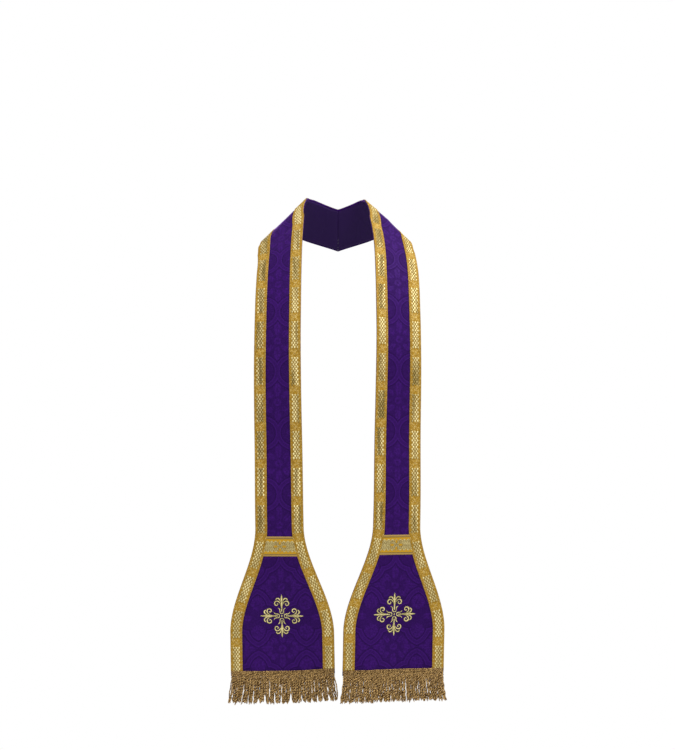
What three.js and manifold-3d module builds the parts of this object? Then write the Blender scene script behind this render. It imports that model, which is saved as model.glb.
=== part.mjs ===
// A Roman stole in its worn form: two lined halves of damask, seamed at the nape, lie over the
// shoulders and fall down the front to bell-shaped ends with galloon edges, a cross and a fringe.
// Millimetres, +Z up, the front faces -Y. The origin is the middle of the neck opening, level with
// the points where the inner edges pass the sides of the neck.
import * as THREE from "three";
import { mergeVertices } from "three/addons/utils/BufferGeometryUtils.js";
import Module from "manifold-3d";

const wasm = await Module();
wasm.setup();

// The cut of one half, laid flat. Heights are above the hem.
const STRIP_WIDTH_NECK = 80.5;
const STRIP_WIDTH_BAND = 85;
const BELL_WIDTH = 182;
const BELL_START = 260;
const BELL_FULL = 75;
const BAND_TOP = 244;
const BAND_HEIGHT = 35;
const CROSS_HEIGHT = 105;
const CROSS_SIZE = 76;
const GALLOON_WIDTH = 21;
const FRINGE_LENGTH = 56;
const HEADING_HEIGHT = 13;
const HEADING_BELOW_HEM = 4;

// Thicknesses, and the clearances between layers and at the seam.
const FACE_THICK = 1.5;
const LINING_THICK = 1;
const GALLOON_THICK = 1;
const HEADING_THICK = 2.6;
const CROSS_THICK = 1.3;
const GAP = 0.3;
const CROSS_GAP = 0.5;
const SEAM_GAP = 0.5;

// The drape of the wearer's left half: where the strip's inner and outer edges lie, row by row from
// the nape seam to the hem. Each row is one straight ruling across the cloth.
const DRAPE = [
  { row: "seam", inner: [0, 66, 3], outer: [0, 109, -74] },
  { row: "nape", inner: [24, 62, 13], outer: [55, 98, -59] },
  { row: "back", inner: [43, 52, 20], outer: [96, 73, -46] },
  { row: "slope", inner: [53, 41, 21], outer: [122, 32, -49] },
  { row: "ridge", inner: [59.5, 28, 17], outer: [140, -8, -64] },
  { row: "collar", inner: [60.5, -2, -12], outer: [144, -36, -90] },
  { row: "clavicle", inner: [63.5, -42, -55], outer: [146, -66, -125] },
  { row: "breast", inner: [65.5, -80, -107], outer: [146.5, -90, -164] },
  { row: "chest", inner: [66.5, -110, -164], outer: [146.5, -107, -206] },
  { row: "crest", inner: [67, -130, -226], outer: [146.5, -118, -252] },
  { row: "fall", inner: [66.5, -141, -335], outer: [146, -128, -342] },
  { row: "waist", inner: [63.5, -145, -450], outer: [145.5, -134, -451] },
  { row: "band", inner: [60.5, -147, -570], outer: [145, -137.5, -570] },
  { row: "bell", inner: [56.5, -149, -700], outer: [141.5, -141, -700] },
  { row: "hem", inner: [54, -152, -832], outer: [139, -144, -832] },
];

// How the halves differ: side is the sign of x, turn the front's turn outwards in degrees, raised
// how much higher its hem hangs, neckward how much closer to the neck it goes over the shoulder, and
// swellShift and swellSign place its swells.
const HALVES = [
  { name: "right", side: -1, turn: -4, raised: 0, neckward: 0, swellShift: 0, swellSign: 1 },
  { name: "left", side: 1, turn: 6, raised: 3, neckward: 12, swellShift: 45, swellSign: -1 },
];
// Distances from the seam: where turn and raised begin and are full, the shoulder and its reach.
const TURN_START = 140;
const TURN_FULL = 330;
const SHOULDER = 140;
const SHOULDER_REACH = 65;

// Soft swells of the hanging cloth: where each is, its reach along and across, and its depth.
const SWELLS = [
  { height: 540, across: 10, along: 75, wide: 60, depth: 2.5 },
  { height: 385, across: -12, along: 65, wide: 60, depth: -2.5 },
  { height: 265, across: 8, along: 60, wide: 70, depth: 2 },
  { height: 120, across: -66, along: 70, wide: 45, depth: 4 },
  { height: 10, across: 58, along: 75, wide: 45, depth: 5 },
  { height: -10, across: -18, along: 70, wide: 42, depth: -4 },
];

// Stations along a half, from the seam: each stretch ends at a distance and has its own spacing.
const STRETCHES = [
  { to: "neck", spacing: 12.5 },
  { to: "strip", spacing: 32 },
  { to: "bandTop", spacing: 16 },
  { to: "bandBottom", spacing: 12 },
  { to: "hem", spacing: 14.5 },
];
const NECK_LENGTH = 330;
const FIELD_CELLS = 4; // across the damask, between the galloons

const FRINGE_STRANDS = 50;
const STRAND_RADIUS = 1.25;
const STRAND_ROOT = 2.5; // how far its root reaches into the heading
const STRAND_STEPS = 3;
const FRINGE_SPLAY = 9; // how much wider the tips spread than the roots

// Half an arm of the fleury cross, from the corner between two arms out to its tip, in shares of
// half the cross's size: y runs along the arm and x to one side of it.
const HALF_ARM = [
  { form: "corner", points: [[0.055, 0.055], [0.045, 0.17]] },
  { form: "leaf", points: [[0.1, 0.27], [0.2, 0.41], [0.11, 0.37]] },
  { form: "collar", points: [[0.065, 0.38], [0.075, 0.46]] },
  { form: "curl, inside", points: [[0.12, 0.58], [0.18, 0.67], [0.25, 0.68], [0.26, 0.62]] },
  { form: "curl, ball", points: [[0.19, 0.61], [0.17, 0.54], [0.22, 0.48], [0.3, 0.49]] },
  { form: "curl, outside", points: [[0.36, 0.57], [0.375, 0.68], [0.32, 0.8], [0.22, 0.85], [0.13, 0.82]] },
  { form: "spear", points: [[0.09, 0.78], [0.06, 0.86]] },
];

const { clamp, degToRad, lerp, smoothstep } = THREE.MathUtils;
const UP = new THREE.Vector3(0, 0, 1);
const vector = (numbers) => new THREE.Vector3(...numbers);

// A smooth curve through rows of numbers that lie at uneven distances.
function curveThrough(distances, rows) {
  const last = rows.length - 1;
  const slopeBetween = (i, j) => rows[j].map((v, k) => (v - rows[i][k]) / (distances[j] - distances[i]));
  const slopes = rows.map((_, i) => {
    if (i === 0) return slopeBetween(0, 1);
    if (i === last) return slopeBetween(last - 1, last);
    const before = distances[i] - distances[i - 1];
    const after = distances[i + 1] - distances[i];
    const next = slopeBetween(i, i + 1);
    return slopeBetween(i - 1, i).map((v, k) => (v * after + next[k] * before) / (before + after));
  });
  return (distance) => {
    let i = 0;
    while (i < last - 1 && distance > distances[i + 1]) i += 1;
    const span = distances[i + 1] - distances[i];
    const t = (distance - distances[i]) / span;
    const start = 2 * t ** 3 - 3 * t ** 2 + 1;
    const leaving = (t ** 3 - 2 * t ** 2 + t) * span;
    const arriving = (t ** 3 - t ** 2) * span;
    const ends = rows[i].map((v, k) => start * v + (1 - start) * rows[i + 1][k]);
    return ends.map((v, k) => v + leaving * slopes[i][k] + arriving * slopes[i + 1][k]);
  };
}

// The strip's middle line and the direction of its rulings, by distance from the seam.
const middles = DRAPE.map(({ inner, outer }) => inner.map((v, k) => (v + outer[k]) / 2));
const distances = [0];
for (let i = 1; i < middles.length; i += 1) {
  distances.push(distances[i - 1] + vector(middles[i]).distanceTo(vector(middles[i - 1])));
}
const middleAt = curveThrough(distances, middles);
const rulingAt = curveThrough(distances, DRAPE.map(({ inner, outer }) => outer.map((v, k) => v - inner[k])));
const CUT_LENGTH = distances[distances.length - 1];

// Half the cut's width, and the galloon's border, at a distance from the seam.
function halfWidth(along) {
  const strip = lerp(STRIP_WIDTH_NECK, STRIP_WIDTH_BAND, clamp(along / (CUT_LENGTH - BELL_START), 0, 1));
  const bell = 1 - smoothstep(CUT_LENGTH - along, BELL_FULL, BELL_START);
  return lerp(strip, BELL_WIDTH, bell) / 2;
}
function galloonBorder(along) {
  const flare = (halfWidth(along + 1) - halfWidth(along - 1)) / 2;
  return halfWidth(along) - GALLOON_WIDTH * Math.hypot(1, flare);
}

// Where the cloth lies, before its swells: a point, and the way across the cloth.
function drape(half, along, across) {
  const tangent = vector(middleAt(along + 1)).sub(vector(middleAt(along - 1))).normalize();
  const differ = smoothstep(along, TURN_START, TURN_FULL);
  const neckward = half.neckward * Math.exp(-(((along - SHOULDER) / SHOULDER_REACH) ** 2));
  const ruling = vector(rulingAt(along));
  ruling.x += neckward;
  ruling.applyAxisAngle(UP, degToRad(half.turn) * differ).normalize();
  const squareness = tangent.cross(ruling).length();
  const point = vector(middleAt(along)).addScaledVector(ruling, across / squareness);
  point.x -= neckward / 2;
  point.z += half.raised * differ;
  return { point, ruling };
}

function swell(half, along, across) {
  const height = CUT_LENGTH - along;
  let depth = 0;
  for (const one of SWELLS) {
    const lengthwise = (height - one.height - half.swellShift) / one.along;
    const crosswise = (across * half.swellSign - one.across) / one.wide;
    depth += one.depth * Math.exp(-(lengthwise ** 2) - crosswise ** 2);
  }
  return depth;
}

// A point of the face with the way out from it. At the seam both stay in the seam's plane.
function facePoint(half, along, across) {
  const { point, ruling } = drape(half, along, across);
  const ahead = drape(half, along + 1, across).point;
  const behind = drape(half, along - 1, across).point;
  const outward = ahead.sub(behind).cross(ruling).normalize();
  if (along === 0) {
    outward.x = 0;
    outward.divideScalar(outward.lengthSq());
    point.x = SEAM_GAP / 2;
  }
  point.addScaledVector(outward, swell(half, along, across));
  return { point, outward };
}

// The stations along a half, and the columns across it: the edges, the galloon borders and the field.
const ends = {
  neck: NECK_LENGTH,
  strip: CUT_LENGTH - BELL_START,
  bandTop: CUT_LENGTH - BAND_TOP,
  bandBottom: CUT_LENGTH - BAND_TOP + BAND_HEIGHT,
  hem: CUT_LENGTH,
};
const STATIONS = [0];
for (const { to, spacing } of STRETCHES) {
  const start = STATIONS[STATIONS.length - 1];
  const count = Math.ceil((ends[to] - start) / spacing);
  for (let i = 1; i <= count; i += 1) STATIONS.push(lerp(start, ends[to], i / count));
}
function columnsAt(along) {
  const border = galloonBorder(along);
  const field = Array.from({ length: FIELD_CELLS + 1 }, (_, j) => lerp(-border, border, j / FIELD_CELLS));
  return [-halfWidth(along), ...field, halfWidth(along)];
}

// The draped face of one half as a grid of points, and any point raised off it by lift. What lies
// on the cloth is made from these same flat patches, so it stays parallel to them.
function panelOf(half) {
  const columns = STATIONS.map(columnsAt);
  const grid = STATIONS.map((along, i) => columns[i].map((across) => facePoint(half, along, across)));
  return (along, across, lift) => {
    let i = 0;
    while (i < STATIONS.length - 2 && along > STATIONS[i + 1]) i += 1;
    const t = (along - STATIONS[i]) / (STATIONS[i + 1] - STATIONS[i]);
    const edges = columns[i].map((v, k) => lerp(v, columns[i + 1][k], t));
    let j = 0;
    while (j < edges.length - 2 && across > edges[j + 1]) j += 1;
    const s = (across - edges[j]) / (edges[j + 1] - edges[j]);
    const raised = ({ point, outward }) => point.clone().addScaledVector(outward, lift);
    const near = raised(grid[i][j]).lerp(raised(grid[i][j + 1]), s);
    const far = raised(grid[i + 1][j]).lerp(raised(grid[i + 1][j + 1]), s);
    return near.lerp(far, t);
  };
}

// A closed skin over rings of points, each of the same count. The first half of a ring is the outer
// surface and the second half the inner one, run back, with the same diagonals in both.
function loft(rings) {
  const count = rings[0].length;
  const index = [];
  for (let i = 0; i < rings.length - 1; i += 1) {
    for (let j = 0; j < count; j += 1) {
      const a = i * count + j;
      const b = i * count + ((j + 1) % count);
      if (j < count / 2) index.push(a, a + count, b, b, a + count, b + count);
      else index.push(a, a + count, b + count, a, b + count, b);
    }
  }
  const last = (rings.length - 1) * count;
  for (let j = 0; j < count / 2 - 1; j += 1) {
    const k = count - 1 - j;
    index.push(j, j + 1, k - 1, j, k - 1, k);
    index.push(last + j, last + k - 1, last + j + 1, last + j, last + k, last + k - 1);
  }
  const geometry = new THREE.BufferGeometry();
  geometry.setAttribute("position", new THREE.Float32BufferAttribute(rings.flat().flatMap((p) => p.toArray()), 3));
  geometry.setIndex(index);
  geometry.computeVertexNormals();
  return geometry;
}

// A wall of cloth: along the given distances, across the columns that columnsOf gives for each, and
// from the lower to the upper lift.
function wall(panel, alongs, columnsOf, lower, upper) {
  const rings = alongs.map((along) => {
    const columns = columnsOf(along);
    const outside = columns.map((across) => panel(along, across, upper));
    const inside = columns.map((across) => panel(along, across, lower)).reverse();
    return [...outside, ...inside];
  });
  return loft(rings);
}

function clothLayer(panel, lower, upper) {
  return wall(panel, STATIONS, columnsAt, lower, upper);
}

// The galloon stops just above the fringe's heading.
const HEADING_TOP = CUT_LENGTH + HEADING_BELOW_HEM - HEADING_HEIGHT;
function galloon(panel, edge) {
  const alongs = [...STATIONS.filter((along) => along < HEADING_TOP - GAP), HEADING_TOP - GAP];
  const columnsOf = (along) => {
    const pair = [edge * galloonBorder(along), edge * halfWidth(along)];
    return pair.sort((a, b) => a - b);
  };
  return wall(panel, alongs, columnsOf, GAP, GAP + GALLOON_THICK);
}

function band(panel) {
  const alongs = STATIONS.filter((along) => along >= ends.bandTop && along <= ends.bandBottom);
  const columnsOf = (along) => {
    const field = columnsAt(along).slice(2, -2);
    const reach = galloonBorder(along) - GAP;
    return [-reach, ...field, reach];
  };
  return wall(panel, alongs, columnsOf, GAP, GAP + GALLOON_THICK);
}

// A geometry as a solid for joining, and back.
function toSolid(geometry) {
  const bare = geometry.clone();
  bare.deleteAttribute("normal");
  bare.deleteAttribute("uv");
  const merged = mergeVertices(bare, 1e-4);
  const vertProperties = merged.attributes.position.array;
  const triVerts = new Uint32Array(merged.index.array);
  return new wasm.Manifold(new wasm.Mesh({ numProp: 3, vertProperties, triVerts }));
}
function fromSolid(solid) {
  const { vertProperties, triVerts } = solid.getMesh();
  const geometry = new THREE.BufferGeometry();
  geometry.setAttribute("position", new THREE.BufferAttribute(vertProperties, 3));
  geometry.setIndex(new THREE.BufferAttribute(triVerts, 1));
  geometry.computeVertexNormals();
  return geometry;
}
const joined = (solids) => fromSolid(solids.reduce((whole, next) => whole.add(next)));

// The cross: its outline goes round the four arms, each half mirrored on the other.
function cross(panel) {
  const half = HALF_ARM.flatMap(({ points }) => points.map(([x, y]) => new THREE.Vector2(x, y)));
  const mirrored = half.slice(1).reverse().map(({ x, y }) => new THREE.Vector2(-x, y));
  const arm = [...half, new THREE.Vector2(0, 1), ...mirrored];
  const outline = [0, 1, 2, 3].flatMap((quarter) => {
    return arm.map((at) => at.clone().rotateAround(new THREE.Vector2(), (quarter * Math.PI) / 2));
  });
  const geometry = new THREE.ExtrudeGeometry(new THREE.Shape(outline), { depth: 1, bevelEnabled: false });
  const position = geometry.attributes.position;
  for (let i = 0; i < position.count; i += 1) {
    const along = CUT_LENGTH - CROSS_HEIGHT - (position.getY(i) * CROSS_SIZE) / 2;
    const across = (position.getX(i) * CROSS_SIZE) / 2;
    position.setXYZ(i, ...panel(along, across, CROSS_GAP + position.getZ(i) * CROSS_THICK).toArray());
  }
  geometry.computeVertexNormals();
  return geometry;
}

// One strand of the fringe: it leaves the heading, bends a little with its neighbours and hangs.
function strand(panel, number) {
  const share = (number + 0.5) / FRINGE_STRANDS;
  const reach = halfWidth(CUT_LENGTH) - STRAND_RADIUS;
  const rootAlong = CUT_LENGTH + HEADING_BELOW_HEM - STRAND_ROOT;
  const root = panel(rootAlong, lerp(-reach, reach, share), GAP + HEADING_THICK / 2);
  const sideways = (share - 0.5) * FRINGE_SPLAY + Math.sin(number * 0.9) * 1.1;
  const forward = Math.sin(number * 2.1) * 1.5;
  const length = FRINGE_LENGTH - HEADING_HEIGHT + STRAND_ROOT + Math.sin(number * 1.7) * 1.5;
  const points = [0, 0.4, 1].map((t) => {
    return root.clone().add(new THREE.Vector3(sideways * t ** 1.5, forward * t, -length * t));
  });
  const section = new THREE.Shape(
    [0, 1, 2].map((k) => new THREE.Vector2(STRAND_RADIUS, 0).rotateAround(new THREE.Vector2(), (k * 2 * Math.PI) / 3)),
  );
  const extrudePath = new THREE.CatmullRomCurve3(points);
  return toSolid(new THREE.ExtrudeGeometry(section, { steps: STRAND_STEPS, extrudePath }));
}

// A fringe: a woven heading over the hem, with the strands' roots in its lower edge.
function fringe(panel) {
  const alongs = [HEADING_TOP, CUT_LENGTH, CUT_LENGTH + HEADING_BELOW_HEM];
  const hemColumns = columnsAt(CUT_LENGTH);
  const heading = toSolid(wall(panel, alongs, () => hemColumns, GAP, GAP + HEADING_THICK));
  const strands = Array.from({ length: FRINGE_STRANDS }, (_, number) => strand(panel, number));
  return joined([heading, ...strands]);
}

// Finishes.
const finish = (color, roughness, metalness) => new THREE.MeshStandardMaterial({ color, roughness, metalness });
const DAMASK = finish(0x35105f, 0.6, 0);
const LINING = finish(0x2c0f4c, 0.5, 0);
const GALLOON = finish(0xc9992f, 0.4, 0.5);
const BAND = finish(0xcf9a2c, 0.4, 0.5);
const EMBROIDERY = finish(0xbfae6e, 0.35, 0.7);
const FRINGE_GOLD = finish(0x94743a, 0.45, 0.6);

const LINING_TOP = -FACE_THICK - GAP;
const stole = new THREE.Group();
for (const half of HALVES) {
  const panel = panelOf(half);
  const pieces = {
    face: [clothLayer(panel, -FACE_THICK, 0), DAMASK],
    lining: [clothLayer(panel, LINING_TOP - LINING_THICK, LINING_TOP), LINING],
    galloon_inner: [galloon(panel, -1), GALLOON],
    galloon_outer: [galloon(panel, 1), GALLOON],
    band: [band(panel), BAND],
    cross: [cross(panel), EMBROIDERY],
    fringe: [fringe(panel), FRINGE_GOLD],
  };
  const group = new THREE.Group();
  for (const [piece, [geometry, material]] of Object.entries(pieces)) {
    const mesh = new THREE.Mesh(geometry, material);
    mesh.name = `${piece}_${half.name}`;
    group.add(mesh);
  }
  group.scale.x = half.side;
  stole.add(group);
}

export default stole;
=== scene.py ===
import math
from functools import partialmethod

import bpy
import numpy as np
from bpy.props import FloatProperty, FloatVectorProperty, IntProperty, PointerProperty
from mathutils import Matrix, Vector


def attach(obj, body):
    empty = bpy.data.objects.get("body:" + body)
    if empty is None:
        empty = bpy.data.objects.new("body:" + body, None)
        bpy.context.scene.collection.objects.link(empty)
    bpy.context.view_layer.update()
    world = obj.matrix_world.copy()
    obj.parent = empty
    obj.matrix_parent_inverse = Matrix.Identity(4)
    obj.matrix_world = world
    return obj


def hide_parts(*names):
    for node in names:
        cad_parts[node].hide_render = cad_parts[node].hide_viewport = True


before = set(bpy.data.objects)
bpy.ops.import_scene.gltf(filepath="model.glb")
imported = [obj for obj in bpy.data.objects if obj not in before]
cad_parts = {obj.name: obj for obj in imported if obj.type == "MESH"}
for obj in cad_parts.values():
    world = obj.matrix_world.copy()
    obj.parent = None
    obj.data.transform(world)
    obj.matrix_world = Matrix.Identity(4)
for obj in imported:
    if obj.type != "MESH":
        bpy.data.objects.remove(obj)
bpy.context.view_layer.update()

bl_info = {
    "name": "Roman stole",
    "version": (1, 0, 0),
    "blender": (4, 5, 0),
    "location": "3D View > Sidebar > Stole",
    "description": "Dresses a worn Roman stole in damask, galloon, embroidery and bullion fringe",
    "category": "Mesh",
}

MM = 0.001

# The drape of the wearer's left half, in millimetres: where the strip's inner and outer edges lie,
# row by row from the nape seam to the hem. Each row is one straight ruling across the cloth.
DRAPE = (
    {"row": "seam", "inner": (0, 66, 3), "outer": (0, 109, -74)},
    {"row": "nape", "inner": (24, 62, 13), "outer": (55, 98, -59)},
    {"row": "back", "inner": (43, 52, 20), "outer": (96, 73, -46)},
    {"row": "slope", "inner": (53, 41, 21), "outer": (122, 32, -49)},
    {"row": "ridge", "inner": (59.5, 28, 17), "outer": (140, -8, -64)},
    {"row": "collar", "inner": (60.5, -2, -12), "outer": (144, -36, -90)},
    {"row": "clavicle", "inner": (63.5, -42, -55), "outer": (146, -66, -125)},
    {"row": "breast", "inner": (65.5, -80, -107), "outer": (146.5, -90, -164)},
    {"row": "chest", "inner": (66.5, -110, -164), "outer": (146.5, -107, -206)},
    {"row": "crest", "inner": (67, -130, -226), "outer": (146.5, -118, -252)},
    {"row": "fall", "inner": (66.5, -141, -335), "outer": (146, -128, -342)},
    {"row": "waist", "inner": (63.5, -145, -450), "outer": (145.5, -134, -451)},
    {"row": "band", "inner": (60.5, -147, -570), "outer": (145, -137.5, -570)},
    {"row": "bell", "inner": (56.5, -149, -700), "outer": (141.5, -141, -700)},
    {"row": "hem", "inner": (54, -152, -832), "outer": (139, -144, -832)},
)

# How the halves differ: the sign of x, the front's turn outwards in degrees, and in millimetres how
# much higher the hem hangs, how much closer to the neck the shoulder lies, where the outer edge bulges
# (its distance from the seam, its reach and how far out it goes), how much the hem's inner corner is
# drawn up, where the swells are, and the height above the hem where a lattice block of each galloon
# starts. The last numbers are how closely the fringe's cords cling together, at least and at most.
HALVES = (
    {"name": "right", "side": -1, "turn": -4, "raised": 0, "neckward": 0,
     "bulges": ({"at": 165, "reach": 24, "out": 4}, {"at": 148, "reach": 10, "out": -3.2}),
     "corner": 4.4, "swell_shift": 0, "swell_sign": 1, "inner_block": 299, "outer_block": 299,
     "clinging": (0.15, 0.85)},
    {"name": "left", "side": 1, "turn": 6, "raised": 3, "neckward": 12,
     "bulges": ({"at": 132, "reach": 20, "out": -10},),
     "corner": 0, "swell_shift": 45, "swell_sign": -1, "inner_block": 303, "outer_block": 296,
     "clinging": (0.05, 0.45)},
)
TURN_START, TURN_FULL = 140 * MM, 330 * MM
SHOULDER, SHOULDER_REACH = 140 * MM, 65 * MM
BULGE_FULL = 40 * MM
CORNER_START, CORNER_FULL, CORNER_REACH = 10 * MM, 90 * MM, 90 * MM

# Soft swells of the hanging cloth in millimetres: height above the hem, place across, reach along and
# across, and depth.
SWELLS = (
    {"height": 540, "across": 10, "along": 75, "wide": 60, "depth": 2.5},
    {"height": 385, "across": -12, "along": 65, "wide": 60, "depth": -2.5},
    {"height": 265, "across": 8, "along": 60, "wide": 70, "depth": 2},
    {"height": 120, "across": -66, "along": 70, "wide": 45, "depth": 4},
    {"height": 10, "across": 58, "along": 75, "wide": 45, "depth": 5},
    {"height": -10, "across": -18, "along": 70, "wide": 42, "depth": -4},
)

# The cloth draws in a little beside the galloon's stitches, and the draws wander a little.
PUCKER_DEPTH, PUCKER_LENGTH, PUCKER_REACH, PUCKER_INSIDE = 0.22 * MM, 13 * MM, 9 * MM, 4 * MM
SEAM_GAP, SEAM_REACH = 0.06 * MM, 12 * MM

# It also sinks in a crease along the galloon's border: distances from the border and depths, in
# millimetres, and how wide the crease is.
CREASE = ((0.1, 0.4), (0.35, 0.75), (0.9, 0.75), (1.5, 0.25))
CREASE_WIDE = 2.2 * MM
STEP = 1 * MM

# How finely each cloth is divided along the stole, and across it.
DAMASK_ROWS, LINING_ROWS, GALLOON_ROWS, BAND_ROWS = 400, 240, 800, 44
EDGE_COLUMNS, FIELD_COLUMNS, UNDER_COLUMNS, LINING_COLUMNS, BAND_COLUMNS = 9, 25, 31, 21, 76

# Layers, as heights above the damask's surface.
CLOTH_EDGE = 0.8 * MM
CLOTH_THICK = 1.5 * MM
TURNED_DEPTH, TURNED_WIDTH = 2.5 * MM, 6 * MM
LINING_INSET, LINING_TOP, LINING_THICK = 3 * MM, -1.8 * MM, 1 * MM
LINING_RISEN, LINING_GAP, LINING_THINNING = 2 * MM, 0.1 * MM, 0.45
GALLOON_LIFT, GALLOON_RELIEF, GALLOON_GAP = 0.85 * MM, 0.4 * MM, 0.03 * MM
CROSS_LIFT = 0.1 * MM

# The galloon's lattice: blocks of woven lozenges, and plain silk between them. The galloon is eased
# round the bell, so a little more of it lies there. A ridge runs along its corded edges.
BLOCK_REPEAT, BLOCK_LENGTH = 65 * MM, 49 * MM
EASED = 0.028
LOZENGE_WIDE, LOZENGE_LONG = 4.8 * MM, 7.6 * MM
LATTICE_REACH = 5.4 * MM
RIDGE_AT, RIDGE_WIDE, RIDGE_SHARE = 9.7 * MM, 0.5 * MM, 0.3

# How it rounds off at its edges: distances from the edge in millimetres, and shares of its lift.
GALLOON_EDGE = ((0, 0), (0.02, 0.55), (0.35, 0.85), (1, 1))

# Painted glint: some galloons are painted brighter than others, as if turned to the light, by their
# place across the stole: brightest at the first measure, and dullest half a wave away. The scene's
# lights don't do this.
BRIGHT_AT, BRIGHT_WAVE = -65 * MM, 264 * MM

# The band's woven middle ends in scallops, has chains that bend, and lies between corded edges.
SCALLOP_REPEAT, SCALLOP_DEPTH, SCALLOP_START = 7.1 * MM, 2.9 * MM, 7.3 * MM
CHAIN_PITCH, CHAIN_BEND, CHAIN_SWAY = 3.25, 1.1, 0.8
BAND_CORD_AT, BAND_CORD_WIDE, BAND_CORD_RISE = 16 * MM, 0.7 * MM, 0.3 * MM
BAND_LIFT, BAND_GAP, BAND_ROUNDING, BAND_OVERLAP = 0.75 * MM, 0.05 * MM, 1.2 * MM, 1 * MM
MIDDLE_RISE, CHAIN_RISE, SCALLOP_SOFT = 0.25 * MM, 0.12 * MM, 0.4 * MM

# The fleury cross, in shares of half its size. Each stroke of one arm runs along its points with the
# widths given there; "both" strokes are repeated on the arm's other side.
CROSS_STROKES = (
    {"stroke": "spear", "sides": "one",
     "points": ((0, 0.975), (0, 0.86), (0, 0.76), (0, 0.66)), "widths": (0.03, 0.09, 0.105, 0.07)},
    {"stroke": "stem", "sides": "one",
     "points": ((0, 0.7), (0, 0.58), (0, 0.42), (0, 0.28), (0, 0.2)),
     "widths": (0.09, 0.17, 0.09, 0.065, 0.05)},
    {"stroke": "scroll", "sides": "both",
     "points": ((0.06, 0.56), (0.12, 0.64), (0.205, 0.68), (0.295, 0.65), (0.325, 0.565), (0.285, 0.495),
                (0.21, 0.49), (0.17, 0.545), (0.21, 0.585)),
     "widths": (0.05, 0.065, 0.07, 0.075, 0.075, 0.07, 0.06, 0.05, 0.035)},
    {"stroke": "petal", "sides": "both",
     "points": ((0.05, 0.66), (0.1, 0.765), (0.17, 0.805), (0.235, 0.785), (0.272, 0.725)),
     "widths": (0.05, 0.07, 0.08, 0.07, 0.03)},
    {"stroke": "cup", "sides": "both",
     "points": ((0, 0.115), (0.055, 0.125), (0.085, 0.19), (0.09, 0.27), (0.12, 0.33), (0.18, 0.37)),
     "widths": (0.04, 0.06, 0.06, 0.055, 0.055, 0.015)},
)
CROSS_HEART = {
    "points": ((0, 0.045), (0, 0.02), (0, -0.02), (0, -0.045)), "widths": (0.035, 0.09, 0.09, 0.035),
}
STROKE_FULLNESS, STROKE_LEAST = 1.1, 0.012
THREAD_PITCH, THREAD_WIDTH, THREAD_SLANT, THREAD_HEIGHT = 0.42 * MM, 0.46 * MM, 0.35, 0.45
THREAD_STEPS, THREAD_FACES = 6, 3
PADDING, PADDED_WIDTH = 0.5 * MM, 0.09

# The fringe: how its cords stray, sway, crimp and twist, and the rows of thread that bind its heading.
FRINGE_INSET = 1.2 * MM
HEADING_STEP, HEADING_WEAVE = 0.8 * MM, 3.1 * MM
HEADING_LIFT, ROW_DEPTH, ROW_SPREAD, WEAVE_DEPTH = 1.35 * MM, 0.5 * MM, 1.3 * MM, 0.3 * MM
HANGING_STEPS, CORD_FACES = 50, 3
HANG_STRAY, DEPTH_STRAY, SWAY = 1.5 * MM, 0.9 * MM, 0.8 * MM
CLUMPS, CLUMP_STRAY = 21, 2.2 * MM
CRIMP_TURNS, CRIMP_DEPTH = (1.8, 4.4), (0.3, 0.9)
TWIST = (4.2, 5.6)
PLY_PLACE, PLY_RADIUS, PRESSED, FREED_STEPS = 0.52, 0.5, 0.8, 3
TIP_STEPS, TIP_SWELL, TIP_TAPER = 4, 0.35, 0.35
BINDER_ROWS, BINDER_LIFT, BINDER_WAVE = (0.9, 3.4, 11.2), 2.15 * MM, 0.28 * MM
BINDER_POINTS, BINDER_PLY, BINDER_RADIUS, BINDER_TWIST = 420, 0.5 * MM, 0.52 * MM, 3.6 * MM

# The flat coordinates number the fringe's threads: first plies from 0, binders and second plies after.
BINDER_NUMBER, SECOND_PLY = 200, 500

STITCH_REPEAT, STITCH_LENGTH, STITCH_INSET = 3.4 * MM, 2.2 * MM, 1.3 * MM
STITCH_START, STITCH_END, STITCH_RISE = 4 * MM, 3 * MM, 0.05 * MM

# The studio: the camera's place and lens, the lights' places, sizes and powers, and the floor.
CAMERA_PLACE, CAMERA_LENS = (-0.001, -3.75, -0.305), 98.75
LIGHTS = (
    {"name": "key", "place": (1.5, -2.6, 1.3), "size": 0.8, "power": 26},
    {"name": "fill", "place": (-1.8, -2.8, 0.4), "size": 1.6, "power": 10},
    {"name": "crown", "place": (0.75, -0.3, 1.1), "size": 0.5, "power": 20},
)
LIGHTS_AIM = (0, -0.1, -0.2)
FLOOR_HEIGHT, FLOOR_RADIUS, FLOOR_CORNERS = -1.45, 1.5, 96


def smoothstep(value, low, high):
    t = np.clip((value - low) / (high - low), 0, 1)
    return t * t * (3 - 2 * t)


def unit(vectors):
    return vectors / np.linalg.norm(vectors, axis=-1, keepdims=True)


def run_of(paths):
    """The distance along each path, at every one of its points."""
    steps = np.linalg.norm(np.diff(paths, axis=-2), axis=-1)
    return np.concatenate([np.zeros((*steps.shape[:-1], 1)), np.cumsum(steps, axis=-1)], axis=-1)


def turned(vectors, angle):
    """The vectors turned about the vertical by an angle each."""
    x, y, z = np.moveaxis(vectors, -1, 0)
    return np.stack([x * np.cos(angle) - y * np.sin(angle), x * np.sin(angle) + y * np.cos(angle), z], -1)


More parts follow.
